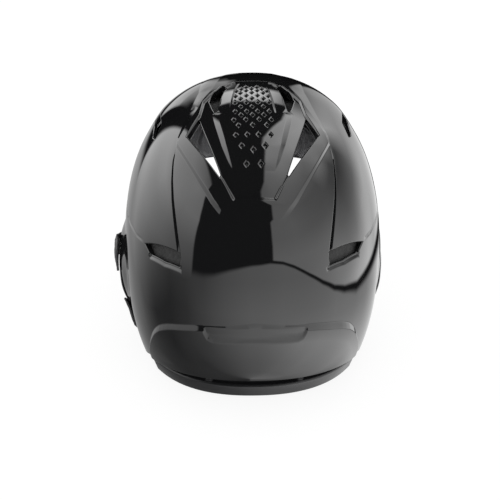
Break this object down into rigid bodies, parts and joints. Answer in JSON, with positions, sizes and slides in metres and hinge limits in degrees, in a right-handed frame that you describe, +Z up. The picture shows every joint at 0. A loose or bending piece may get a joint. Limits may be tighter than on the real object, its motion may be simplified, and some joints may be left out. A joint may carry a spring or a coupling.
{
  "type": "batting helmet",
  "caption": "Gloss batting helmet with a raised vented crown frame, two ear flaps, a short brim, foam liner, cloth pads and a bolt-on jaw guard on the left flap.",
  "frame": {"origin": "on the surface that the helmet stands on, under the middle of its bounding box", "axes": "+Z up towards the crown, the wearer looks along -Y, +X is the wearer's left"},
  "size_m": [0.2194, 0.3075, 0.2103],
  "materials": {
    "gloss_black": "moulded, high gloss",
    "rubber_lip": "matte moulded edge",
    "bezel_black": "fine satin grain",
    "guard_black": "matte moulded polycarbonate",
    "rubber_washer": "matte",
    "screw_steel": "blackened zinc",
    "nut_steel": "zinc plated",
    "liner_foam": "beaded expanded foam",
    "pad_cloth": "grey knit over soft foam",
    "ear_pad_cloth": "grey knit over dense foam",
    "loop_tape": "hook-and-loop"
  },
  "bodies": {
    "root": {"shell": "gloss_black", "rear_trim": "rubber_lip", "ear_bezel_left": "bezel_black", "ear_bezel_right": "bezel_black", "face_guard": "guard_black", "guard_spacers": "rubber_washer", "guard_screws": "screw_steel", "guard_tee_nuts": "nut_steel", "liner_crown": "liner_foam", "liner_front": "liner_foam", "liner_rear": "liner_foam", "liner_left": "liner_foam", "liner_right": "liner_foam", "pad_crown": "pad_cloth", "pad_brow": "pad_cloth", "pad_temple_left": "pad_cloth", "pad_temple_right": "pad_cloth", "pad_rear": "pad_cloth", "pad_nape": "pad_cloth", "ear_pad_left": "ear_pad_cloth", "ear_pad_right": "ear_pad_cloth", "loop_discs": "loop_tape"}
  },
  "joints": []
}
